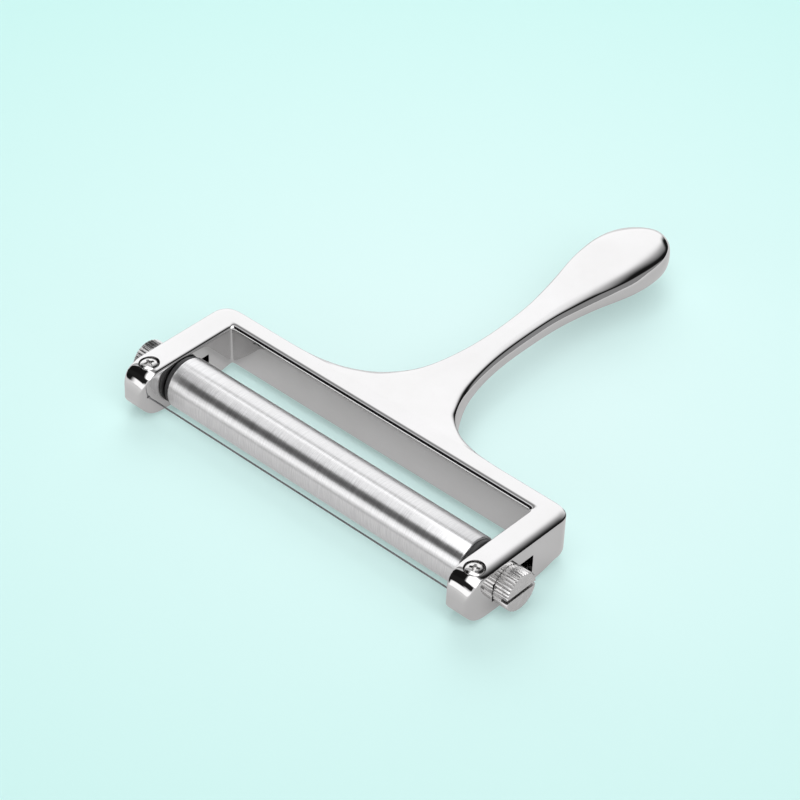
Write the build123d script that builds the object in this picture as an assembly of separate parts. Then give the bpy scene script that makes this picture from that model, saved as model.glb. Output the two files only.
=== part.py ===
from build123d import *
import os

# Cheese slicer: a cast yoke and handle, a turning roller that slides in the yoke's slots,
# and a taut wire in front of the roller. Lengths are millimetres.
# X runs along the roller, Y from the wire to the handle's end, and Z up.
# The pieces are drawn about the roller's axis. They are moved last, so that the origin
# lies under the middle of the whole object, on the surface that it stands on.

# Roller and what it turns on
roller_radius = 7.5
roller_wall = 1.0
roller_edge = 0.4
bushing_flange = 1.5
flange_gap = 0.3
bushing_step = 0.35
bushing_depth = 8.0
bushing_edge = 0.3
axle_radius = 4.0
axle_end_radius = 2.8
axle_end_gap = 0.6
axle_shoulder_gap = 0.05
running_clearance = 0.05
seat_clearance = 0.02

# Yoke: two arms and the rail between them
arm_inner = 53.6
arm_width = 8.6
arm_top = 7.5
arm_bottom = 6.8
nose_reach = 14.75
nose_top_run = 4.9
nose_bottom_run = 7.5
top_flat_end = 14.0
underside_flat_end = 8.0
rail_inner = 19.0
rail_depth = 6.5
rail_drop = 2.3
rail_back_drop = 0.5
corner_radius = 5.2
inner_corner_radius = 1.2
outer_edge_radius = 1.0
inner_edge_radius = 0.8

# Slot in each arm that the axle slides along
slot_back = 10.1
slot_front = 5.4
slot_clearance = 0.1

# Handle, with each underside given as a depth below the roller's axis
root_half_width = 38.0
root_depth = 5.0
root_inset = 0.7
flare_half_width = 35.0
flare_top = 7.15
flare_under = 4.2
neck_half_width = 4.65
neck_place = 74.0
neck_top = 4.6
neck_under = 0.1
pad_half_width = 10.9
pad_place = 120.5
pad_top = 7.8
pad_under = 0.35
tip_place = 139.4
tip_half_width = 1.6
tip_top = 5.0
tip_rise = 0.4
section_corner = 3.2

# Thumb screws
knob_radius = 5.6
knob_length = 4.9
knob_edge = 0.5
knob_gap = 0.03
groove_radius = 0.3
driver_slot_width = 0.9
driver_slot_depth = 2.0
thumb_shank_radius = 2.0
thumb_shank_length = 9.0
tapped_depth = 10.0

# Cutting wire and the screws that clamp it
wire_radius = 0.25
wire_front = 12.3
wire_height = 0.7
wire_hole_radius = 0.45
clamp_front = 7.9
clamp_inset = 4.2
clamp_seat_depth = 1.5
clamp_seat_radius = 3.1
clamp_head_radius = 2.5
clamp_head_height = 1.3
clamp_head_edge = 0.5
clamp_shank_radius = 1.5
clamp_shank_length = 6.0
clamp_hole_depth = 6.5
washer_radius = 2.8
washer_thickness = 0.5
cross_length = 3.0
cross_width = 0.7
cross_depth = 0.7
overrun = 5.0

# Counts, and shares chosen by eye. In a table of shares each row is how far along a part
# of the handle it lies, and how much of the change in half width, in the top's height and
# in the underside's height has been made there.
groove_count = 32
corner_share = 0.72
flare_to_neck_shares = [
    (0.00, 0.000, 0.00, 0.00), (0.019, 0.194, 0.06, 0.02), (0.058, 0.379, 0.20, 0.07),
    (0.115, 0.527, 0.43, 0.17), (0.196, 0.659, 0.69, 0.32), (0.30, 0.771, 0.90, 0.51),
    (0.443, 0.893, 1.02, 0.77), (0.69, 0.974, 1.06, 0.95),
]
neck_to_pad_shares = [
    (0.00, 0.000, 0.00, 0.0), (0.333, 0.127, 0.18, -2.6), (0.495, 0.300, 0.31, -3.3),
    (0.654, 0.556, 0.53, -3.0), (0.817, 0.840, 0.79, -1.4), (0.946, 0.994, 0.97, 0.6),
]
pad_to_tip_shares = [
    (0.20, 0.000, 0.06, 0.00), (0.487, 0.097, 0.18, 0.00), (0.688, 0.270, 0.30, 0.00),
    (0.81, 0.420, 0.39, 0.03), (0.905, 0.600, 0.50, 0.14), (0.963, 0.810, 0.68, 0.43),
    (1.00, 1.000, 1.00, 1.00),
]

arm_outer = arm_inner + arm_width
arm_middle = arm_inner + arm_width / 2
rail_back = rail_inner + rail_depth
rail_bottom = arm_bottom - rail_drop
slot_half_height = axle_end_radius + slot_clearance
clamp_x = arm_outer - clamp_inset
clamp_seat = arm_top - clamp_seat_depth
wire_turn = arm_inner + 2 * wire_radius
wire_end_x = clamp_x - clamp_shank_radius - wire_radius - running_clearance
wire_end_level = clamp_seat - wire_radius - seat_clearance
flange_end = arm_inner - flange_gap
roller_end = flange_end - bushing_flange
knob_start = arm_outer + knob_gap
axle_end = arm_outer - axle_end_gap
half_length = (tip_place + nose_reach) / 2
placed = Pos(0, half_length - tip_place, roller_radius)


def save(name, solid):
    export_step(placed * solid, os.path.join("parts", name + ".step"))


def one_solid(shape):
    return shape.solids().sort_by(SortBy.VOLUME)[-1]


def rod_x(radius, start, end):
    """A round bar along X, about the roller's axis."""
    return Pos(start, 0, 0) * Rot(0, 90, 0) * Cylinder(
        radius, end - start, align=(Align.CENTER, Align.CENTER, Align.MIN))


def bevelled_rod_x(radius, start, end, edge):
    """A round bar along X with both rims cut at 45 degrees."""
    bar = rod_x(radius, start, end)
    return bar.chamfer(edge, None, bar.edges().filter_by(GeomType.CIRCLE))


# The yoke is the plan of its arms and rail, crossed with its side profile.
# Its outer edges are rounded, and the inner ones a little less.
def yoke():
    far = 2 * nose_reach
    with BuildSketch(Plane.XY.offset(-2 * arm_bottom)) as plan:
        with BuildLine():
            Polyline(
                (arm_inner, -far), (arm_outer, -far), (arm_outer, rail_back),
                (-arm_outer, rail_back), (-arm_outer, -far), (-arm_inner, -far),
                (-arm_inner, rail_inner), (arm_inner, rail_inner), close=True)
        make_face()
        fillet(plan.vertices().group_by(Axis.Y)[-1], corner_radius)
        rail_corners = plan.vertices().filter_by(lambda v: abs(v.Y - rail_inner) < seat_clearance)
        fillet(rail_corners, inner_corner_radius)
    nose_top = -nose_reach + nose_top_run
    nose_bottom = -nose_reach + nose_bottom_run
    behind = rail_back + overrun
    low_back = arm_top - rail_back_drop
    with BuildSketch(Plane.YZ.offset(-2 * arm_outer)) as side:
        with BuildLine():
            EllipticalCenterArc((nose_top, 0), nose_top_run, arm_top, 90, arc_size=90)
            Line((nose_top, arm_top), (top_flat_end, arm_top))
            Spline((top_flat_end, arm_top), (behind, low_back), tangents=[(1, 0), (1, 0)])
            Line((behind, low_back), (behind, -rail_bottom))
            Line((behind, -rail_bottom), (rail_back, -rail_bottom))
            Spline((rail_back, -rail_bottom), (underside_flat_end, -arm_bottom),
                   tangents=[(-1, 0), (-1, 0)])
            Line((underside_flat_end, -arm_bottom), (nose_bottom, -arm_bottom))
            EllipticalCenterArc((nose_bottom, 0), nose_bottom_run, arm_bottom, 180, arc_size=90)
        make_face()
    crossed = extrude(plan.sketch, amount=4 * arm_bottom) & extrude(side.sketch, amount=4 * arm_outer)
    return one_solid(crossed)


def is_upright(edge):
    size = edge.bounding_box().size
    return size.X < inner_corner_radius / 2 and size.Y < inner_corner_radius / 2


def is_across(edge):
    size = edge.bounding_box().size
    return size.Y < seat_clearance and abs(size.X - arm_width) < seat_clearance


def rounded_yoke():
    body = yoke()
    rims = [e for e in body.edges() if not is_upright(e) and not is_across(e)]
    outer = [e for e in rims if abs(e.center().X) > arm_middle or e.center().Y > rail_back - corner_radius]
    body = body.fillet(outer_edge_radius, outer)
    rims = [e for e in body.edges() if not is_upright(e) and not is_across(e)]
    inner = [e for e in rims if abs(e.center().X) < arm_inner + seat_clearance
             and e.center().Y < rail_inner + seat_clearance]
    return body.fillet(inner_edge_radius, inner)


# The handle is lofted through rounded sections from inside the rail to its tip.
def section(place, half_width, top, bottom):
    across = min(section_corner, corner_share * half_width)
    up = corner_share * (top - bottom) / 2
    right = half_width - across
    high = top - up
    low = bottom + up
    plane = Plane(origin=(0, place, 0), x_dir=(1, 0, 0), z_dir=(0, -1, 0))
    with BuildSketch(plane) as drawn:
        with BuildLine():
            Line((-right, top), (right, top))
            EllipticalCenterArc((right, high), across, up, 0, arc_size=90)
            Line((half_width, high), (half_width, low))
            EllipticalCenterArc((right, low), across, up, 270, arc_size=90)
            Line((right, bottom), (-right, bottom))
            EllipticalCenterArc((-right, low), across, up, 180, arc_size=90)
            Line((-half_width, low), (-half_width, high))
            EllipticalCenterArc((-right, high), across, up, 90, arc_size=90)
        make_face()
    return drawn.sketch.faces()[0]


def sections_between(shares, start, end):
    """Sections from one place to the next, each place as (y, half width, top, bottom)."""
    made = []
    for row in shares:
        made.append(section(*[s + (e - s) * k for s, e, k in zip(start, end, row)]))
    return made


def handle():
    flare = (rail_back, flare_half_width, flare_top, -flare_under)
    neck = (neck_place, neck_half_width, neck_top, -neck_under)
    pad = (pad_place, pad_half_width, pad_top, -pad_under)
    tip = (tip_place, tip_half_width, tip_top, tip_rise)
    root = section(rail_back - root_depth, root_half_width, flare_top, root_inset - rail_bottom)
    sections = [root] + sections_between(flare_to_neck_shares, flare, neck)
    sections = sections + sections_between(neck_to_pad_shares, neck, pad)
    sections = sections + sections_between(pad_to_tip_shares, pad, tip)
    return loft(sections)


# The wire runs straight between the arms. At each end it turns up through a drilled hole
# and lies in a groove under the clamp screw's washer.
def wire_points(past):
    """Where the right end of the wire turns and ends, and how far past that it goes."""
    turn_y = -clamp_front - clamp_shank_radius / 2
    end_y = -clamp_front + washer_radius + past
    return [
        (wire_turn, -wire_front, wire_height), (wire_end_x, turn_y, wire_end_level),
        (wire_end_x, end_y, wire_end_level),
    ]


def cutting_wire():
    right = wire_points(0)
    left = [(-x, y, z) for x, y, z in reversed(right)]
    start = Plane(origin=left[0], z_dir=(0, -1, 0))
    path = Polyline(*(left + right))
    return one_solid(sweep(start * Circle(wire_radius), path=path, transition=Transition.ROUND))


def straight_bar(radius, start, end):
    along = Vector(*end) - Vector(*start)
    bar = Cylinder(radius, along.length, align=(Align.CENTER, Align.CENTER, Align.MIN))
    return Plane(origin=start, z_dir=along) * bar


def wire_holes():
    """What is cut for the right end of the wire: two bores, a groove and a ball at each turn."""
    turn, rise, end = wire_points(wire_radius)
    mouth = (arm_inner - inner_edge_radius, -wire_front, wire_height)
    cuts = []
    for start, stop in ((mouth, turn), (turn, rise), (rise, end)):
        cuts.append(straight_bar(wire_hole_radius, start, stop))
    for place in (turn, rise):
        cuts.append(Pos(*place) * Sphere(wire_hole_radius))
    return cuts


def upright(radius, height, level):
    """A round bar standing at the right clamp screw's place, from this level up."""
    bar = Cylinder(radius, height, align=(Align.CENTER, Align.CENTER, Align.MIN))
    return Pos(clamp_x, -clamp_front, level) * bar


def on_the_left(shape):
    return mirror(shape, Plane.YZ)


def frame_casting():
    body = rounded_yoke() + handle()
    slot_middle = (slot_back - slot_front) / 2
    slot = Pos(arm_middle, slot_middle, 0) * Box(
        arm_width + overrun, slot_front + slot_back, 2 * slot_half_height)
    seat = upright(clamp_seat_radius, overrun, clamp_seat)
    hole = upright(clamp_shank_radius + seat_clearance, clamp_hole_depth + overrun,
                   clamp_seat - clamp_hole_depth)
    for cut in [slot, seat, hole] + wire_holes():
        body = body - cut - on_the_left(cut)
    return one_solid(body)


# The roller is a thin tube. A flanged plastic bush is pressed into each end of it.
def roller_tube():
    tube = bevelled_rod_x(roller_radius, -roller_end, roller_end, roller_edge)
    return tube - rod_x(roller_radius - roller_wall, -roller_end, roller_end)


def roller_bushing():
    flange = bevelled_rod_x(roller_radius - bushing_step, roller_end, flange_end, bushing_edge)
    plug_radius = roller_radius - roller_wall - seat_clearance
    plug = rod_x(plug_radius, roller_end - bushing_depth, roller_end + bushing_flange / 2)
    return flange + plug - rod_x(axle_radius + running_clearance, 0, arm_inner)


# The axle's thick middle fits between the arms. Its ends lie in the slots and are tapped.
def axle_rod():
    shoulder = arm_inner - axle_shoulder_gap
    rod = rod_x(axle_radius, -shoulder, shoulder) + rod_x(axle_end_radius, -axle_end, axle_end)
    bore = rod_x(thumb_shank_radius + running_clearance, axle_end - tapped_depth, arm_outer)
    return rod - bore - on_the_left(bore)


# Each thumb screw has a straight-knurled head with a driver slot, and a plain shank.
def thumb_screw():
    knob_end = knob_start + knob_length
    knob = bevelled_rod_x(knob_radius, knob_start, knob_end, knob_edge)
    for i in range(groove_count):
        turn = 360 * i / groove_count
        groove = rod_x(groove_radius, arm_outer, knob_end + overrun)
        knob = knob - Rot(turn, 0, 0) * Pos(0, 0, knob_radius) * groove
    driver_slot = Pos(knob_end, 0, 0) * Box(2 * driver_slot_depth, 4 * knob_radius, driver_slot_width)
    shank = rod_x(thumb_shank_radius, knob_start - thumb_shank_length, knob_start + knob_length / 4)
    return one_solid(knob - driver_slot + shank)


# Each clamp screw has a low round head with a cross recess, and a washer under it.
def wire_screw():
    under_head = clamp_seat + washer_thickness
    head = upright(clamp_head_radius, clamp_head_height, under_head)
    rim = head.edges().filter_by(GeomType.CIRCLE).sort_by(Axis.Z)[-1]
    head = head.chamfer(clamp_head_edge, None, [rim])
    into_head = clamp_head_height / 4
    shank = upright(clamp_shank_radius, clamp_shank_length + into_head, under_head - clamp_shank_length)
    at_top = Pos(clamp_x, -clamp_front, under_head + clamp_head_height)
    cross = at_top * Box(cross_length, cross_width, 2 * cross_depth)
    cross = cross + at_top * Box(cross_width, cross_length, 2 * cross_depth)
    return one_solid(head + shank - cross)


def wire_washer():
    ring = upright(washer_radius, washer_thickness, clamp_seat)
    return ring - upright(clamp_shank_radius + running_clearance, washer_thickness, clamp_seat)


os.makedirs("parts", exist_ok=True)
save("frame_casting", frame_casting())
save("cutting_wire", cutting_wire())
save("roller_tube", roller_tube())
save("axle_rod", axle_rod())
paired = (
    ("roller_bushing", roller_bushing()), ("thumb_screw", thumb_screw()),
    ("wire_screw", wire_screw()), ("wire_washer", wire_washer()),
)
for name, right_hand in paired:
    save(name + "_right", right_hand)
    save(name + "_left", on_the_left(right_hand))
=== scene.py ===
import math

import bmesh
import bpy
from mathutils import Matrix, Vector


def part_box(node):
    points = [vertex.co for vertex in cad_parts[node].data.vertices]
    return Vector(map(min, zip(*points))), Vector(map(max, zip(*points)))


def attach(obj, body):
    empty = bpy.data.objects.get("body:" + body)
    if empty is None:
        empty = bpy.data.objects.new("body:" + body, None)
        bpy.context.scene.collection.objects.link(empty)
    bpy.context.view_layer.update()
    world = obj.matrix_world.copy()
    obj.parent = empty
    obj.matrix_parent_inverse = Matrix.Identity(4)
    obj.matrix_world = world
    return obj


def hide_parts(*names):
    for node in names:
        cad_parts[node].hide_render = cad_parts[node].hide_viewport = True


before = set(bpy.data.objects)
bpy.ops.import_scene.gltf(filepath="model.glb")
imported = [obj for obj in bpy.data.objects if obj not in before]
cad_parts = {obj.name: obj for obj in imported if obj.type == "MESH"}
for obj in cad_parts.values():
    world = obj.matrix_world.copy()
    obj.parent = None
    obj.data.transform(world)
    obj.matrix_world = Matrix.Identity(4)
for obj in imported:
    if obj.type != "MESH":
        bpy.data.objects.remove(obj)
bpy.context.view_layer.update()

# The camera stands in front of the right arm and looks down along the handle.
# Its lens is long, so the arms and the rail stay nearly parallel in the picture.
camera = bpy.data.objects.new("camera", bpy.data.cameras.new("camera"))
bpy.context.collection.objects.link(camera)
camera_right = Vector((0.73816, 0.67385, 0.03240))
camera_up = Vector((-0.44360, 0.44863, 0.77585))
camera_back = Vector((0.50827, -0.58708, 0.63008))
camera_place = Vector((0.38466, -0.47831, 0.49132))
camera_turn = Matrix((camera_right, camera_up, camera_back)).transposed().to_4x4()
camera.matrix_world = Matrix.Translation(camera_place) @ camera_turn
camera.data.sensor_width = 36
camera.data.lens = 128.46
camera.data.clip_start = 0.01
bpy.context.scene.camera = camera
bpy.context.scene.view_settings.view_transform = "Standard"

# A pale light table stands under the slicer, lit a little from below. It is matt, keeps the soft
# shadow, and grows deeper in colour away from the middle. The metal shows it as plain grey.
bpy.ops.object.select_all(action="DESELECT")
bpy.ops.mesh.primitive_plane_add(size=6, location=(0, 0, 0))
tabletop = bpy.context.object
tabletop.name = "tabletop"


def feed(links, socket, value):
    """Links the socket to a value, or sets it where the value is plain numbers."""
    if isinstance(value, bpy.types.NodeSocket):
        links.new(value, socket)
    else:
        socket.default_value = value


def mixed(nodes, links, mask, low, high):
    """A colour that goes from low to high with the mask."""
    mix = nodes.new("ShaderNodeMix")
    mix.data_type = "RGBA"
    feed(links, mix.inputs["Factor"], mask)
    feed(links, mix.inputs["A"], low)
    feed(links, mix.inputs["B"], high)
    return mix.outputs["Result"]


def between(nodes, links, value, low, high, start=0, end=1):
    """A number that goes from low to high while the value goes from start to end."""
    step = nodes.new("ShaderNodeMapRange")
    for label, number in (("From Min", start), ("From Max", end), ("To Min", low), ("To Max", high)):
        step.inputs[label].default_value = number
    links.new(value, step.inputs["Value"])
    return step.outputs["Result"]


tabletop_paint = bpy.data.materials.new("tabletop_paint")
tabletop_paint.use_nodes = True
nodes = tabletop_paint.node_tree.nodes
links = tabletop_paint.node_tree.links
shader = nodes["Principled BSDF"]
shader.inputs["Roughness"].default_value = 0.8
shader.inputs["Specular IOR Level"].default_value = 0.2
shader.inputs["Emission Strength"].default_value = 1
place = nodes.new("ShaderNodeTexCoord")
distance = nodes.new("ShaderNodeVectorMath")
distance.operation = "LENGTH"
links.new(place.outputs["Object"], distance.inputs[0])
pale = nodes.new("ShaderNodeValToRGB")
in_the_middle, further_out = pale.color_ramp.elements
in_the_middle.position = 0.03
in_the_middle.color = (0.67, 0.87, 0.85, 1)
further_out.position = 0.24
further_out.color = (0.53, 0.81, 0.77, 1)
links.new(distance.outputs["Value"], pale.inputs["Fac"])
dark_grey = (0.32, 0.32, 0.32, 1)
glow_grey = between(nodes, links, distance.outputs["Value"], 0.35, 0.55, start=0.09, end=0.20)
looks = nodes.new("ShaderNodeLightPath")
for label, share, grey in (("Base Color", 0.68, dark_grey), ("Emission Color", 0.36, glow_grey)):
    shared = nodes.new("ShaderNodeVectorMath")
    shared.operation = "SCALE"
    shared.inputs["Scale"].default_value = share
    links.new(pale.outputs["Color"], shared.inputs[0])
    sheet = mixed(nodes, links, looks.outputs["Is Camera Ray"], grey, shared.outputs["Vector"])
    links.new(sheet, shader.inputs[label])
tabletop.data.materials.append(tabletop_paint)

# The studio is a light tent with bright sheets behind on the left and overhead, and a low light
# in front. Black cloths hang behind on the right, at the left of the front and across it, and
# polished metal shows them as dark bands.
studio = bpy.data.worlds.new("studio")
bpy.context.scene.world = studio
studio.use_nodes = True
nodes = studio.node_tree.nodes
links = studio.node_tree.links
direction = nodes.new("ShaderNodeTexCoord")
parts_of = nodes.new("ShaderNodeSeparateXYZ")
links.new(direction.outputs["Generated"], parts_of.inputs["Vector"])


def worked_out(operation, first, second):
    """The studio's own arithmetic on sockets or plain numbers."""
    step = nodes.new("ShaderNodeMath")
    step.operation = operation
    for socket, value in zip(step.inputs, (first, second)):
        feed(links, socket, value)
    return step.outputs["Value"]


def fade(value, start, end):
    """Rises softly from 0 at the start to 1 at the end."""
    step = nodes.new("ShaderNodeMapRange")
    step.interpolation_type = "SMOOTHSTEP"
    step.inputs["From Min"].default_value = min(start, end)
    step.inputs["From Max"].default_value = max(start, end)
    if start > end:
        step.inputs["To Min"].default_value = 1
        step.inputs["To Max"].default_value = 0
    links.new(value, step.inputs["Value"])
    return step.outputs["Result"]


# Sideways goes from left to right. The lean is how far a direction tips from straight up
# towards the front, in degrees.
sideways = parts_of.outputs["X"]
forwards = worked_out("MULTIPLY", parts_of.outputs["Y"], -1)
lean = worked_out("MULTIPLY", worked_out("ARCTAN2", forwards, parts_of.outputs["Z"]), 180 / math.pi)


def strip_of(value, limits, soft):
    """Full between the two limits, and fading out past each of them."""
    low, high = limits
    rising = fade(value, low - soft, low + soft)
    falling = fade(value, high + soft, high - soft)
    return worked_out("MULTIPLY", rising, falling)


# Each sheet or cloth hangs between two places sideways and between two leans, both with a soft
# edge, and ends with its brightness. One further down the list hangs in front.
hangings = (
    ((-1.5, -0.26), 0.10, (-83, -25), 6, 1.45),
    ((-0.45, 1.5), 0.05, (-12, 33), 5, 2.30),
    ((-1.5, 0.30), 0.10, (-24, -14), 3, 0.35),
    ((-0.14, 1.5), 0.16, (-100, -16), 5, 0.012),
    ((-0.30, 1.5), 0.08, (-100, -68), 5, 0.012),
    ((0.44, 1.5), 0.07, (-100, -16), 5, 0.34),
    ((-0.95, -0.38), 0.04, (-6, 88), 3, 0.012),
    ((-1.5, 0.30), 0.10, (36, 62), 3, 0.02),
    ((-0.60, 0.60), 0.04, (68, 92), 3, 1.55),
)
tent = (0.88, 0.88, 0.89, 1)
for sides, side_soft, leans, lean_soft, bright in hangings:
    hanging = worked_out("MULTIPLY", strip_of(sideways, sides, side_soft), strip_of(lean, leans, lean_soft))
    tent = mixed(nodes, links, hanging, tent, (bright, bright, bright * 1.01, 1))
path = nodes.new("ShaderNodeLightPath")
seen = mixed(nodes, links, path.outputs["Is Camera Ray"], tent, (0.68, 0.88, 0.85, 1))
links.new(seen, nodes["Background"].inputs["Color"])

# A soft lamp behind on the left throws the shadow. The metal doesn't mirror it.
lamp = bpy.data.objects.new("soft_light", bpy.data.lights.new("soft_light", "AREA"))
bpy.context.collection.objects.link(lamp)
lamp.data.size = 0.9
lamp.data.energy = 5
lamp.location = (-0.75, 0.75, 0.95)
lamp.rotation_euler = (-lamp.location).to_track_quat("-Z", "Y").to_euler()
lamp.visible_glossy = False

# The yoke and handle are one zinc casting, ground, polished and chrome plated all over.
# It is drawn as a cage of its right half, mirrored, and rounded by subdivision.
# Lengths here are millimetres from the middle of the roller's axis.
roller_low, roller_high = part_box("roller_tube")
axis_place = (roller_low + roller_high) / 2
mm = 0.001


def span(node):
    """A node's lowest and highest corners in millimetres from the middle of the roller's axis."""
    low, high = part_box(node)
    return (low - axis_place) / mm, (high - axis_place) / mm


casting_low, casting_high = span("frame_casting")
arm_inner = 53.6
arm_outer = casting_high.x
rail_front = 19.0
rail_back = 25.5
tip = casting_high.y
nose = casting_low.y
arm_bottom = casting_low.z
arm_top = 7.5


def hold(piece):
    """Selects this piece alone and makes it the active one."""
    bpy.ops.object.select_all(action="DESELECT")
    piece.select_set(True)
    bpy.context.view_layer.objects.active = piece


def place_in_mesh():
    """Moves the held piece's place, turn and scale into its mesh."""
    bpy.ops.object.transform_apply(location=True, rotation=True, scale=True)


def start_edit(piece):
    hold(piece)
    bpy.ops.object.mode_set(mode="EDIT")


def end_edit():
    bpy.ops.object.mode_set(mode="OBJECT")


def choose(piece, kind, test):
    """Selects the faces, edges or points of the piece in edit mode whose middle passes the test."""
    mesh = bmesh.from_edit_mesh(piece.data)
    bpy.ops.mesh.select_mode(type=kind)
    bpy.ops.mesh.select_all(action="DESELECT")
    for item in {"VERT": mesh.verts, "EDGE": mesh.edges, "FACE": mesh.faces}[kind]:
        points = [item] if kind == "VERT" else item.verts
        middle = sum((p.co for p in points), Vector()) / len(points)
        if test(middle, item):
            item.select_set(True)
    bmesh.update_edit_mesh(piece.data)


def near(a, b, close=0.01):
    return abs(a - b) < close


def cut_at(piece, normal, places):
    for place in places:
        bpy.ops.mesh.select_all(action="SELECT")
        bpy.ops.mesh.bisect(plane_co=Vector(normal) * place, plane_no=normal)


def slide(piece, test, by):
    choose(piece, "VERT", test)
    bpy.ops.transform.translate(value=by)


def smooth_over(piece, angle):
    """Shades the piece smooth, with edges sharper than this angle left crisp."""
    hold(piece)
    bpy.ops.object.shade_smooth_by_angle(angle=math.radians(angle))


def settle(piece, body, node):
    """Puts a piece drawn in millimetres in its place in metres, and fixes it to its body."""
    hold(piece)
    piece.scale = (mm, mm, mm)
    piece.location = axis_place
    place_in_mesh()
    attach(piece, body)
    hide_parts(node)


def cut_out(piece, cutter):
    """Cuts the cutter's shape out of the piece, and takes the cutter away."""
    hold(piece)
    cut = piece.modifiers.new("cut", "BOOLEAN")
    cut.operation = "DIFFERENCE"
    cut.solver = "EXACT"
    cut.object = cutter
    bpy.ops.object.modifier_apply(modifier="cut")
    bpy.data.objects.remove(cutter)


# The cage's rows run from the underside to the top, and its columns from the middle outwards.
rows = [-4.5, -3.2, 1.5, 5.4, 7.2]
handle_columns = [0, 14, 27, 35]
rail_columns = [43, 52.2]
arm_columns = [arm_inner, 54.8, 57.2, 60.4, arm_outer]
rail_lines = [rail_front, 20.4, 21.4, 23.7, rail_back]
bpy.ops.mesh.primitive_cube_add(
    size=1, location=(arm_outer / 2, (rail_front + rail_back) / 2, (rows[0] + rows[-1]) / 2),
    scale=(arm_outer, rail_back - rail_front, rows[-1] - rows[0]))
casting = bpy.context.object
casting.name = "chromed_yoke_and_handle"
place_in_mesh()
start_edit(casting)
cut_at(casting, (1, 0, 0), handle_columns[1:] + rail_columns + arm_columns[:-1])
cut_at(casting, (0, 1, 0), rail_lines[1:-1])
cut_at(casting, (0, 0, 1), rows[1:-1])
choose(casting, "FACE", lambda m, f: near(m.x, 0))
bpy.ops.mesh.delete(type="FACE")


def pull_ring(piece, ring, step, shape):
    """Extrudes the end faces along Y and puts each point of the new ring where shape says.

    The ring maps a point's X and Z to its column and row, and so does the ring it returns."""
    choose(piece, "VERT", lambda m, v: near(m.y, ring["y"], 0.6) and (round(m.x, 3), round(m.z, 3)) in ring)
    bmesh.from_edit_mesh(piece.data).select_flush(True)
    bpy.ops.mesh.select_mode(type="FACE")
    bpy.ops.mesh.extrude_region_move(TRANSFORM_OT_translate={"value": (0, step, 0)})
    bpy.ops.mesh.select_mode(type="VERT")
    mesh = bmesh.from_edit_mesh(piece.data)
    moves = [(v.index, ring[round(v.co.x, 3), round(v.co.z, 3)]) for v in mesh.verts if v.select]
    made = {"y": ring["y"] + step}
    for index, column_and_row in moves:
        bpy.ops.mesh.select_all(action="DESELECT")
        mesh = bmesh.from_edit_mesh(piece.data)
        mesh.verts.ensure_lookup_table()
        point = mesh.verts[index]
        point.select_set(True)
        goal = Vector(shape(*column_and_row))
        bpy.ops.transform.translate(value=goal - point.co)
        made[round(goal.x, 3), round(goal.z, 3)] = column_and_row
    return made


def first_ring(y, columns):
    """The ring of points on the block's own face at y."""
    ring = {"y": y}
    for i, x in enumerate(columns):
        for k, z in enumerate(rows):
            ring[round(x, 3), round(z, 3)] = (i, k)
    return ring


# Each ring of the handle is its place, half width and height at the sharp upper edge, height
# of the crown, rise from the edge to the shoulder, bulge of the wall and depth of the underside.
handle_rings = [
    (rail_back, 35.0, 7.20, 7.50, 0.15, 0.0, -4.50),
    (26.3, 28.8, 6.90, 7.40, 0.20, 0.2, -4.40), (28.3, 22.5, 6.40, 7.00, 0.35, 0.5, -4.15),
    (31.1, 18.0, 5.80, 6.45, 0.50, 0.75, -3.75), (35.0, 13.9, 5.08, 5.78, 0.52, 0.95, -2.95),
    (40.5, 10.2, 4.42, 4.97, 0.42, 1.0, -2.12), (47.0, 7.30, 4.00, 4.48, 0.32, 0.90, -1.35),
    (56.0, 5.20, 4.02, 4.42, 0.22, 0.80, -0.68), (66.0, 4.12, 4.20, 4.60, 0.20, 0.80, -0.30),
    (76.0, 3.98, 4.45, 4.85, 0.20, 0.80, -0.08), (86.0, 4.42, 4.90, 5.32, 0.20, 0.80, 0.25),
    (94.0, 5.50, 5.28, 5.83, 0.28, 0.86, 0.54), (102.0, 7.00, 5.70, 6.38, 0.42, 0.9, 0.60),
    (109.5, 8.80, 6.00, 6.97, 0.64, 0.78, 0.30), (116.0, 9.85, 6.20, 7.39, 0.83, 0.82, -0.05),
    (122.0, 10.3, 6.30, 7.66, 0.88, 0.6, -0.30), (128.0, 9.75, 6.20, 7.55, 0.84, 0.6, -0.35),
    (133.0, 8.05, 5.90, 7.15, 0.90, 0.55, -0.25), (136.6, 5.70, 5.45, 6.60, 0.80, 0.5, 0.05),
    (138.5, 3.50, 4.95, 5.95, 0.60, 0.4, 0.60), (tip - 0.15, 1.70, 4.50, 5.20, 0.40, 0.2, 1.30),
]
# Rounding draws a cage in, so its rings are moved out until the rounded form passes through these.
cage = [list(ring) for ring in handle_rings]
for _ in range(8):
    before = [list(ring) for ring in cage]
    for i in range(1, len(cage) - 1):
        for k in range(7):
            passes = (before[i - 1][k] + 4 * before[i][k] + before[i + 1][k]) / 6
            cage[i][k] += handle_rings[i][k] - passes
# As far as this the wall's rows ease from their heights at the rail to those along the handle.
blend_end = 40.5


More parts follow.
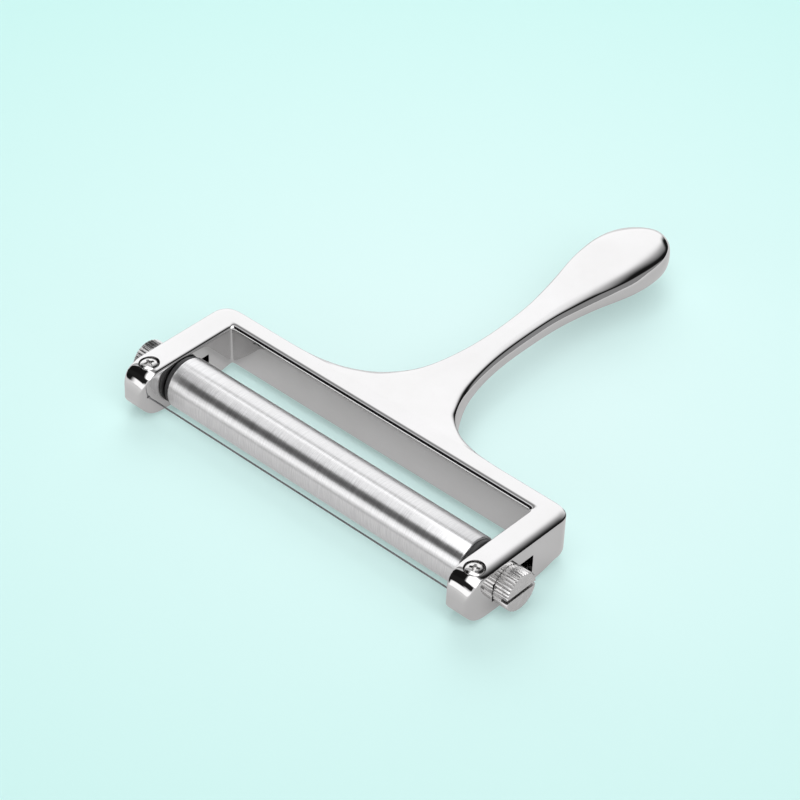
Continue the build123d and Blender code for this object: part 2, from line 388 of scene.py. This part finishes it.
def handle_spot(row, i, k):
    """Where the point in column i and row k of a handle ring goes."""
    y, edge_x, edge_z, crown, rise, bulge, under = row
    shoulder = max(edge_x - 2.4, edge_x * 0.68)
    height = edge_z - under
    tops = [(0, crown), (shoulder * 0.55, crown - 0.15 * (crown - edge_z - rise)),
            (shoulder, edge_z + rise), (edge_x, edge_z)]
    tuck = min(1.2 + 0.12 * height * edge_x / 4, edge_x * 0.45)
    low = [(0, under), (shoulder * 0.5, under),
           ((edge_x - tuck) * 0.9, under), (edge_x - tuck * 0.4, under)]
    at_rail = max(0, (blend_end - y) / (blend_end - rail_back))
    wall = {1: (edge_x + bulge * 1.1, 0.12), 2: (edge_x + bulge * 1.25, 0.46 + 0.05 * at_rail),
            3: (edge_x + bulge * 1.05, 0.76 + 0.085 * at_rail)}
    if k == 4:
        x, z = tops[i]
    elif k == 0:
        x, z = low[i]
    else:
        x = wall[k][0] if i == 3 else tops[i][0]
        z = under + height * wall[k][1]
    inside = k in (1, 2, 3) and i < 3
    return (x, min(y + 0.15, tip) if inside else y, z)


ring = first_ring(rail_back, handle_columns)
sharp_line = []
for row in cage[1:]:
    ring = pull_ring(casting, ring, row[0] - ring["y"], lambda i, k: handle_spot(row, i, k))
    sharp_line.insert(0, Vector(handle_spot(row, 3, 4)))

# The arms go forward from the rail's ends to blunt noses. Their tops are crowned, with a sharp
# edge outside and a round one inside.
arm_tops = [7.28, 7.52, 7.84, 7.66, 7.10]
arm_walls = {3: 5.4, 2: 1.0, 1: -5.5, 0: arm_bottom}
inner_wall_high = 6.0


def arm_spot(y, top, bottom, draw_in, i, k):
    """Where the point in column i and row k of an arm's ring goes."""
    x = arm_columns[i] + draw_in * (arm_inner + arm_outer - 2 * arm_columns[i]) / (arm_outer - arm_inner)
    z = arm_tops[i] if k == 4 else arm_walls[k]
    if k == 3 and i == 0:
        z = inner_wall_high
    return (x, y, z * top / arm_top if z > 0 else z * bottom / arm_bottom)


ring = first_ring(rail_front, arm_columns)
arm_line = []
for y, top, bottom, draw_in in (
    (17.6, 7.5, -5.45, 0), (13.0, 7.5, -6.35, 0), (8.0, 7.5, -6.85, 0), (0.0, 7.5, -6.8, 0),
    (-6.5, 7.5, -6.8, 0), (-9.6, 7.42, -6.5, 0), (-12.1, 6.55, -5.4, 0.15), (-13.8, 4.55, -3.6, 0.6),
    (nose, 1.7, -1.3, 1.6),
):
    ring = pull_ring(casting, ring, y - ring["y"], lambda i, k: arm_spot(y, top, bottom, draw_in, i, k))
    arm_line.append(Vector(arm_spot(y, top, bottom, draw_in, 4, 4)))

# The rail between the arms has the same crowned top, which runs on into the handle, and its
# outer corners turn on a radius.
rail_tops = [7.30, 7.62, 7.76, 7.66, rows[-1]]
rise_to_handle = 0.26


def in_top_row(place):
    return near(place.z, rows[-1])


def crown_at(i, j):
    """The top where an arm's column i crosses the rail's line j: full inside, and falling outside."""
    if i < 3 and j < 3:
        return max(arm_tops[i], rail_tops[j])
    return min(arm_tops[max(i, 2)], rail_tops[max(j, 2)])


slide(casting, lambda m, v: in_top_row(m) and near(m.y, rail_back) and m.x < handle_columns[-1] - 1,
      (0, 0, rise_to_handle))
for j, y in enumerate(rail_lines):
    slide(casting, lambda m, v: in_top_row(m) and near(m.y, y) and m.x < arm_inner - 0.1,
          (0, 0, rail_tops[j] - rows[-1]))
    for i, x in enumerate(arm_columns):
        slide(casting, lambda m, v: in_top_row(m) and near(m.y, y) and near(m.x, x),
              (0, 0, crown_at(i, j) - rows[-1]))
slide(casting, lambda m, v: near(m.z, rows[3]) and near(m.y, rail_front) and m.x < arm_inner + 0.1,
      (0, 0, inner_wall_high - rows[3]))
for y, drop in zip(rail_lines, (0.70, 0.60, 0.50, 0.20, 0)):
    slide(casting, lambda m, v: near(m.z, rows[0]) and near(m.y, y), (0, 0, -drop))
middle_x, middle_y = arm_columns[2], rail_lines[2]
outer_x, outer_y = arm_outer - middle_x, rail_back - middle_y
inner_x, inner_y = arm_columns[3] - middle_x, rail_lines[3] - middle_y
corner_line = []
for x, y, turn, reach_x, reach_y in (
    (arm_outer, rail_lines[3], 22.5, outer_x, outer_y), (arm_columns[3], rail_back, 67.5, outer_x, outer_y),
    (arm_outer, rail_back, 45, outer_x * 1.02, outer_y * 1.02),
    (arm_columns[3], rail_lines[3], 45, inner_x, inner_y),
):
    goal_x = middle_x + reach_x * math.cos(math.radians(turn))
    goal_y = middle_y + reach_y * math.sin(math.radians(turn))
    slide(casting, lambda m, v: near(m.x, x) and near(m.y, y), (goal_x - x, goal_y - y, 0))
    corner_line.append((goal_x, goal_y))


def crease(piece, line, sharpness):
    """Makes the edges whose two ends lie on this line of points sharper."""
    def on_line(end):
        return any((end.co - point).length < 0.02 for point in line)

    choose(piece, "EDGE", lambda m, e: all(on_line(end) for end in e.verts))
    bpy.ops.transform.edge_crease(value=sharpness)


def on_rail_edge(place):
    """Whether a point lies on the sharp upper edge round the back of the rail and its corner."""
    if place.z < 6.6 or not rail_front - 0.01 < place.y < rail_back + 0.01:
        return False
    on_back = near(place.y, rail_back) and place.x > handle_columns[-1] - 0.1
    in_corner = any(near(place.x, x) and near(place.y, y) for x, y in corner_line[:3])
    return on_back or in_corner or near(place.x, arm_outer)


# The edges are sharp on the yoke and softer along the handle, whose points count from its tip.
mesh = bmesh.from_edit_mesh(casting.data)
rail_line = [v.co.copy() for v in mesh.verts if on_rail_edge(v.co)]
for first, last, sharpness in (
    (2, 7, 0.3), (6, 9, 0.42), (8, 14, 0.26), (13, 17, 0.3), (16, 18, 0.36), (17, 19, 0.42),
):
    crease(casting, sharp_line[first:last], sharpness)
crease(casting, sharp_line[18:] + rail_line + arm_line[:6], 0.5)
crease(casting, arm_line[5:8], 0.25)
choose(casting, "FACE", lambda m, f: near(m.x, 0) and abs(f.normal.x) > 0.9)
bpy.ops.mesh.delete(type="FACE")
end_edit()
mirror = casting.modifiers.new("left_half", "MIRROR")
mirror.use_clip = True
mirror.merge_threshold = 0.001
bpy.ops.object.modifier_apply(modifier="left_half")
rounding = casting.modifiers.new("rounding", "SUBSURF")
rounding.levels = 3
rounding.render_levels = 3
bpy.ops.object.modifier_apply(modifier="rounding")

# The slots that the axle slides in, the clamp screws' seats and the wire's holes are milled
# and drilled after casting, so their rims are crisp.
slot_back, slot_front, slot_half, slot_corner = 10.1, -5.4, 2.9, 0.25
slot_middle, slot_length = (slot_back + slot_front) / 2, slot_back - slot_front
clamp_x, clamp_y, seat_level, seat_radius = 58.0, -7.9, 6.0, 2.9
shank_radius, shank_hole = 1.5, 6.5
wire_y, wire_z, wire_hole = -12.3, 0.7, 0.45
for side in (1, -1):
    bpy.ops.mesh.primitive_cube_add(
        size=1, location=(side * (arm_inner + arm_outer) / 2, slot_middle, 0),
        scale=(12, slot_length, 2 * slot_half))
    mill = bpy.context.object
    place_in_mesh()
    start_edit(mill)
    choose(mill, "EDGE",
           lambda m, e: near(abs(m.y - slot_middle), slot_length / 2) and near(abs(m.z), slot_half))
    bpy.ops.mesh.bevel(offset=slot_corner, segments=3)
    end_edit()
    cut_out(casting, mill)
    bpy.ops.mesh.primitive_cylinder_add(
        vertices=64, radius=seat_radius, depth=4, location=(side * clamp_x, clamp_y, seat_level + 2))
    drill = bpy.context.object
    place_in_mesh()
    start_edit(drill)
    choose(drill, "FACE", lambda m, f: f.normal.z < -0.9)
    bpy.ops.mesh.inset(thickness=seat_radius - shank_radius)
    bpy.ops.mesh.extrude_region_move(TRANSFORM_OT_translate={"value": (0, 0, -shank_hole)})
    end_edit()
    cut_out(casting, drill)
    bpy.ops.mesh.primitive_cylinder_add(
        vertices=24, radius=wire_hole, depth=3, rotation=(0, math.pi / 2, 0),
        location=(side * (arm_inner - 0.4), wire_y, wire_z))
    drill = bpy.context.object
    place_in_mesh()
    start_edit(drill)
    choose(drill, "FACE", lambda m, f: f.normal.x * side > 0.9)
    bpy.ops.mesh.inset(thickness=wire_hole * 0.4)
    bpy.ops.mesh.extrude_region_move(TRANSFORM_OT_translate={"value": (side * 0.3, 0, 0)})
    end_edit()
    cut_out(casting, drill)
smooth_over(casting, 40)


def new_group(name, inputs, outputs):
    """An empty shader node group with named sockets, and its input and output nodes."""
    group = bpy.data.node_groups.new(name, "ShaderNodeTree")
    for label, kind in inputs:
        group.interface.new_socket(label, in_out="INPUT", socket_type=kind)
    for label, kind in outputs:
        group.interface.new_socket(label, in_out="OUTPUT", socket_type=kind)
    return group, group.nodes.new("NodeGroupInput"), group.nodes.new("NodeGroupOutput")


# Fine streaks or grain: noise squeezed along one direction or evenly, from 0 to 1.
streaks, given, out = new_group(
    "streaks",
    (("Vector", "NodeSocketVector"), ("Per Metre", "NodeSocketVector"), ("Contrast", "NodeSocketFloat")),
    (("Mask", "NodeSocketFloat"),))
squeeze = streaks.nodes.new("ShaderNodeVectorMath")
squeeze.operation = "MULTIPLY"
streaks.links.new(given.outputs["Vector"], squeeze.inputs[0])
streaks.links.new(given.outputs["Per Metre"], squeeze.inputs[1])
noise = streaks.nodes.new("ShaderNodeTexNoise")
noise.inputs["Scale"].default_value = 1
noise.inputs["Detail"].default_value = 4
noise.inputs["Roughness"].default_value = 0.6
streaks.links.new(squeeze.outputs["Vector"], noise.inputs["Vector"])
centred = streaks.nodes.new("ShaderNodeMath")
centred.operation = "SUBTRACT"
centred.inputs[1].default_value = 0.5
streaks.links.new(noise.outputs["Fac"], centred.inputs[0])
stretched = streaks.nodes.new("ShaderNodeMath")
stretched.operation = "MULTIPLY_ADD"
stretched.inputs[2].default_value = 0.5
stretched.use_clamp = True
streaks.links.new(centred.outputs["Value"], stretched.inputs[0])
streaks.links.new(given.outputs["Contrast"], stretched.inputs[1])
streaks.links.new(stretched.outputs["Value"], out.inputs["Mask"])


def new_finish(name, roughness, metallic=1):
    """A material with its nodes, its links, its shader and the object's own coordinates."""
    material = bpy.data.materials.new(name)
    material.use_nodes = True
    shader = material.node_tree.nodes["Principled BSDF"]
    shader.inputs["Metallic"].default_value = metallic
    shader.inputs["Roughness"].default_value = roughness
    place = material.node_tree.nodes.new("ShaderNodeTexCoord")
    return material, material.node_tree.nodes, material.node_tree.links, shader, place.outputs["Object"]


def streak_mask(nodes, links, place, per_metre, contrast):
    """One use of the streaks, with so many of them to a metre in each direction."""
    node = nodes.new("ShaderNodeGroup")
    node.node_tree = streaks
    links.new(place, node.inputs["Vector"])
    node.inputs["Per Metre"].default_value = per_metre
    node.inputs["Contrast"].default_value = contrast
    return node.outputs["Mask"]


def tinted(nodes, links, mask, dark, light):
    return mixed(nodes, links, mask, dark + (1,), light + (1,))


def bumped(nodes, links, mask, strength, depth):
    bump = nodes.new("ShaderNodeBump")
    bump.inputs["Strength"].default_value = strength
    bump.inputs["Distance"].default_value = depth
    links.new(mask, bump.inputs["Height"])
    return bump.outputs["Normal"]


def give_finish(finish, *names):
    """Gives these drawn shapes their finish."""
    for name in names:
        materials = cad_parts[name].data.materials
        materials.clear()
        materials.append(finish)


# Bright chrome over the polished casting: handling has left a faint haze in patches, with a few
# fine hairlines, and the polish follows slow waves of the metal below.
chrome, nodes, links, shader, place = new_finish("bright_chrome", 0.04)
haze = streak_mask(nodes, links, place, (55, 55, 55), 2.2)
hairlines = streak_mask(nodes, links, place, (2600, 240, 900), 3.5)
waves = streak_mask(nodes, links, place, (120, 120, 120), 1.5)
links.new(tinted(nodes, links, haze, (0.62, 0.615, 0.61), (0.655, 0.65, 0.65)), shader.inputs["Base Color"])
worn = nodes.new("ShaderNodeMath")
worn.operation = "MULTIPLY"
links.new(haze, worn.inputs[0])
links.new(hairlines, worn.inputs[1])
links.new(between(nodes, links, worn.outputs["Value"], 0.025, 0.11), shader.inputs["Roughness"])
links.new(bumped(nodes, links, waves, 0.15, 0.00004), shader.inputs["Normal"])
casting.data.materials.append(chrome)
settle(casting, "frame", "frame_casting")
give_finish(chrome, "frame_casting")

# The roller is a thin stainless tube. It is turned smooth and brushed round, which leaves fine
# rings, and its ends are broken with a small round edge.
roller_half, roller_radius = span("roller_tube")[1].x, span("roller_tube")[1].z
roller_wall, roller_edge = 1.0, 0.45
bpy.ops.mesh.primitive_cylinder_add(
    vertices=144, radius=roller_radius, depth=2 * roller_half, rotation=(0, math.pi / 2, 0))
roller = bpy.context.object
roller.name = "brushed_roller"
place_in_mesh()
start_edit(roller)
choose(roller, "FACE", lambda m, f: abs(f.normal.x) > 0.9)
bpy.ops.mesh.inset(thickness=roller_wall)
bpy.ops.mesh.bridge_edge_loops()
choose(roller, "EDGE", lambda m, e: near(abs(m.x), roller_half) and m.yz.length > roller_radius - 0.05
       and near(e.verts[0].co.x, e.verts[1].co.x))
bpy.ops.mesh.bevel(offset=roller_edge, segments=4)
cut_at(roller, (1, 0, 0), (-34, -17, 0, 17, 34))
end_edit()
smooth_over(roller, 50)
brushed, nodes, links, shader, place = new_finish("brushed_stainless", 0.38)
fine = streak_mask(nodes, links, place, (5200, 200, 200), 3.2)
broad = streak_mask(nodes, links, place, (1300, 60, 60), 1.6)
marks = nodes.new("ShaderNodeMix")
marks.inputs["Factor"].default_value = 0.12
links.new(fine, marks.inputs["A"])
links.new(broad, marks.inputs["B"])
links.new(tinted(nodes, links, marks.outputs["Result"], (0.69, 0.69, 0.69), (0.90, 0.90, 0.90)),
          shader.inputs["Base Color"])
links.new(between(nodes, links, marks.outputs["Result"], 0.29, 0.36), shader.inputs["Roughness"])
links.new(bumped(nodes, links, fine, 0.12, 0.00002), shader.inputs["Normal"])
shader.inputs["Anisotropic"].default_value = 0.9
shader.inputs["Anisotropic Rotation"].default_value = 0.25
around = nodes.new("ShaderNodeTangent")
around.direction_type = "RADIAL"
around.axis = "X"
links.new(around.outputs["Tangent"], shader.inputs["Tangent"])
roller.data.materials.append(brushed)
settle(roller, "roller", "roller_tube")
give_finish(brushed, "roller_tube")

# A black nylon bush with a flange is pressed into each end of the roller. It is turned,
# and its face has dulled where it rubs.
nylon, nodes, links, shader, place = new_finish("black_nylon", 0.45, metallic=0)
grain = streak_mask(nodes, links, place, (2200, 2200, 2200), 2.5)
rubbed = streak_mask(nodes, links, place, (260, 260, 260), 3.0)
links.new(tinted(nodes, links, rubbed, (0.012, 0.012, 0.013), (0.035, 0.035, 0.036)),
          shader.inputs["Base Color"])
links.new(between(nodes, links, rubbed, 0.34, 0.55), shader.inputs["Roughness"])
links.new(bumped(nodes, links, grain, 0.3, 0.00003), shader.inputs["Normal"])
give_finish(nylon, "roller_bushing_left", "roller_bushing_right")

# The axle is a plain stainless rod with turned-down ends, which lie in the slots. It is tapped
# for the thumb screws, and the lathe has left fine rings on it.
turned, nodes, links, shader, place = new_finish("turned_steel", 0.25)
rings = streak_mask(nodes, links, place, (3800, 90, 90), 3.0)
links.new(tinted(nodes, links, rings, (0.50, 0.50, 0.51), (0.62, 0.62, 0.63)), shader.inputs["Base Color"])
links.new(between(nodes, links, rings, 0.18, 0.36), shader.inputs["Roughness"])
links.new(bumped(nodes, links, rings, 0.3, 0.00002), shader.inputs["Normal"])
give_finish(turned, "axle_rod")

# The cutting wire is drawn stainless, with the die's fine lines along it. It is pulled taut
# between the arms, and its ends turn up to the clamp screws.
drawn, nodes, links, shader, place = new_finish("drawn_wire", 0.18)
lines = streak_mask(nodes, links, place, (60, 5200, 5200), 2.6)
# The wire's colour is painted far darker than steel, as painted shade for the dark surroundings it mirrors.
# The die's lines vary it a little.
links.new(tinted(nodes, links, lines, (0.17, 0.17, 0.175), (0.30, 0.30, 0.305)),
          shader.inputs["Base Color"])
links.new(between(nodes, links, lines, 0.12, 0.28), shader.inputs["Roughness"])
links.new(bumped(nodes, links, lines, 0.2, 0.00001), shader.inputs["Normal"])
give_finish(drawn, "cutting_wire")

# Each thumb screw is a turned steel knob with straight knurls, satin plated. A driver slot is
# sawn across its flat face. Its shank goes into the axle's end.
knurls = 32
shank_end = span("thumb_screw_right")[0].x
knob_end = span("thumb_screw_right")[1].x
knob_length, knob_radius, knob_shank = 4.9, 5.6, 2.0
knurl_depth, flank_depth, rim = 0.5, 0.14, 0.32
saw_depth, saw_width = 2.0, 1.1
bpy.ops.mesh.primitive_cylinder_add(
    vertices=4 * knurls, radius=knob_radius, depth=knob_length, rotation=(0, math.pi / 2, 0),
    location=(knob_end - knob_length / 2, 0, 0))
knob = bpy.context.object
knob.name = "knurled_thumb_screw_right"
place_in_mesh()
start_edit(knob)
choose(knob, "EDGE", lambda m, e: near(e.verts[0].co.x, e.verts[1].co.x))
bpy.ops.mesh.bevel(offset=rim, segments=3)
choose(knob, "FACE", lambda m, f: f.normal.x < -0.9 and m.yz.length < 1)
bpy.ops.mesh.inset(thickness=knob_radius - rim - knob_shank)
bpy.ops.mesh.extrude_region_move(
    TRANSFORM_OT_translate={"value": (shank_end - knob_end + knob_length, 0, 0)})


def knurl_step(point):
    """Which of a knurl's four lines a point lies on, counted round the knob."""
    turn = math.atan2(point.z, point.y) / (2 * math.pi) * 4 * knurls
    return round(turn) % 4


for steps, depth in (((0,), knurl_depth), ((1, 3), flank_depth)):
    choose(knob, "VERT", lambda m, v: m.yz.length > knob_radius - rim * 0.6 and knurl_step(m) in steps)
    shrink = 1 - depth / knob_radius
    bpy.ops.transform.resize(value=(1, shrink, shrink), center_override=(knob_end, 0, 0))
end_edit()
bpy.ops.mesh.primitive_cube_add(
    size=1, location=(knob_end, 0, 0), scale=(2 * saw_depth, 4 * knob_radius, saw_width))
saw = bpy.context.object
place_in_mesh()
cut_out(knob, saw)
smooth_over(knob, 40)
satin, nodes, links, shader, place = new_finish("satin_plating", 0.3)
grit = streak_mask(nodes, links, place, (3000, 3000, 3000), 2.6)
worn = streak_mask(nodes, links, place, (420, 420, 420), 1.8)
links.new(tinted(nodes, links, worn, (0.56, 0.555, 0.55), (0.66, 0.655, 0.65)), shader.inputs["Base Color"])
links.new(between(nodes, links, worn, 0.20, 0.32), shader.inputs["Roughness"])
links.new(bumped(nodes, links, grit, 0.35, 0.00003), shader.inputs["Normal"])
knob.data.materials.append(satin)


def copy_of(piece, name):
    """A copy with its own mesh."""
    twin = piece.copy()
    twin.data = piece.data.copy()
    twin.name = name
    bpy.context.collection.objects.link(twin)
    return twin


def left_of(piece, name):
    """A mirrored copy for the left side, with its faces outwards."""
    twin = copy_of(piece, name)
    hold(twin)
    twin.scale = (-1, 1, 1)
    place_in_mesh()
    start_edit(twin)
    bpy.ops.mesh.select_all(action="SELECT")
    bpy.ops.mesh.remove_doubles(threshold=0.0001)
    bpy.ops.mesh.normals_make_consistent(inside=False)
    end_edit()
    smooth_over(twin, 40)
    return twin


other_knob = left_of(knob, "knurled_thumb_screw_left")
settle(knob, "thumb_right", "thumb_screw_right")
settle(other_knob, "thumb_left", "thumb_screw_left")
give_finish(satin, "thumb_screw_left", "thumb_screw_right")

# A plated washer lies in each arm's seat and holds the wire's end. Its edges are rounded
# by the press that stamped it.
washer_radius, washer_thickness, washer_edge = 2.8, 0.5, 0.14
bpy.ops.mesh.primitive_cylinder_add(
    vertices=64, radius=washer_radius, depth=washer_thickness,
    location=(clamp_x, clamp_y, seat_level + washer_thickness / 2))
washer = bpy.context.object
washer.name = "clamp_washer_right"
place_in_mesh()
start_edit(washer)
choose(washer, "FACE", lambda m, f: abs(f.normal.z) > 0.9)
bpy.ops.mesh.inset(thickness=washer_radius - shank_radius - 0.05)
bpy.ops.mesh.bridge_edge_loops()
choose(washer, "EDGE", lambda m, e: near(e.verts[0].co.z, e.verts[1].co.z)
       and (m - Vector((clamp_x, clamp_y, m.z))).length > washer_radius - 0.05)
bpy.ops.mesh.bevel(offset=washer_edge, segments=3)
end_edit()
smooth_over(washer, 40)

# A small cross-headed screw clamps each washer. Its round head is turned, its recess is
# pressed in, and the two were tightened to different angles.
head_top = span("wire_screw_right")[1].z
head_radius, head_height, dome, recess, shank_length = 2.62, 1.3, 0.85, 1.0, 6
cross_length, cross_width, cross_taper = 3.6, 1.0, 0.6
under_head = head_top - head_height
bpy.ops.mesh.primitive_cylinder_add(
    vertices=64, radius=head_radius, depth=head_height, location=(0, 0, under_head + head_height / 2))
screw = bpy.context.object
screw.name = "clamp_screw_right"
place_in_mesh()
start_edit(screw)
choose(screw, "FACE", lambda m, f: f.normal.z > 0.9)
bpy.ops.transform.translate(value=(0, 0, -dome))
for inwards, rise in ((0.06, 0.18), (0.16, 0.17), (0.28, 0.16), (0.4, 0.14), (0.5, 0.12), (0.6, 0.08)):
    bpy.ops.mesh.inset(thickness=inwards)
    bpy.ops.transform.translate(value=(0, 0, rise))
choose(screw, "FACE", lambda m, f: f.normal.z < -0.9 and near(m.z, under_head))
bpy.ops.mesh.inset(thickness=head_radius - shank_radius)
bpy.ops.mesh.extrude_region_move(TRANSFORM_OT_translate={"value": (0, 0, -shank_length)})
end_edit()
for long_x, long_y, turn in ((cross_length, cross_width, 0), (cross_width, cross_length, 0), (2, 2, 45)):
    bpy.ops.mesh.primitive_cube_add(
        size=1, location=(0, 0, head_top), rotation=(0, 0, math.radians(turn)),
        scale=(long_x, long_y, 2 * recess))
    punch = bpy.context.object
    place_in_mesh()
    start_edit(punch)
    choose(punch, "FACE", lambda m, f: f.normal.z < -0.9)
    bpy.ops.transform.resize(value=(cross_taper, cross_taper, 1), center_override=(0, 0, head_top - recess))
    end_edit()
    cut_out(screw, punch)
other_screw = copy_of(screw, "clamp_screw_left")
for piece, side, turn in ((screw, 1, 25), (other_screw, -1, 70)):
    hold(piece)
    piece.rotation_euler.z = math.radians(turn)
    piece.location = (side * clamp_x, clamp_y, 0)
    place_in_mesh()
    smooth_over(piece, 40)
other_washer = left_of(washer, "clamp_washer_left")
nickel, nodes, links, shader, place = new_finish("bright_nickel", 0.14)
scuffs = streak_mask(nodes, links, place, (900, 900, 900), 3.0)
pits = streak_mask(nodes, links, place, (3600, 3600, 3600), 2.6)
links.new(tinted(nodes, links, scuffs, (0.56, 0.555, 0.55), (0.68, 0.675, 0.67)),
          shader.inputs["Base Color"])
links.new(between(nodes, links, scuffs, 0.09, 0.24), shader.inputs["Roughness"])
links.new(bumped(nodes, links, pits, 0.2, 0.00002), shader.inputs["Normal"])
for piece, node in ((screw, "wire_screw_right"), (other_screw, "wire_screw_left"),
                    (washer, "wire_washer_right"), (other_washer, "wire_washer_left")):
    piece.data.materials.append(nickel)
    settle(piece, "frame", node)
    give_finish(nickel, node)
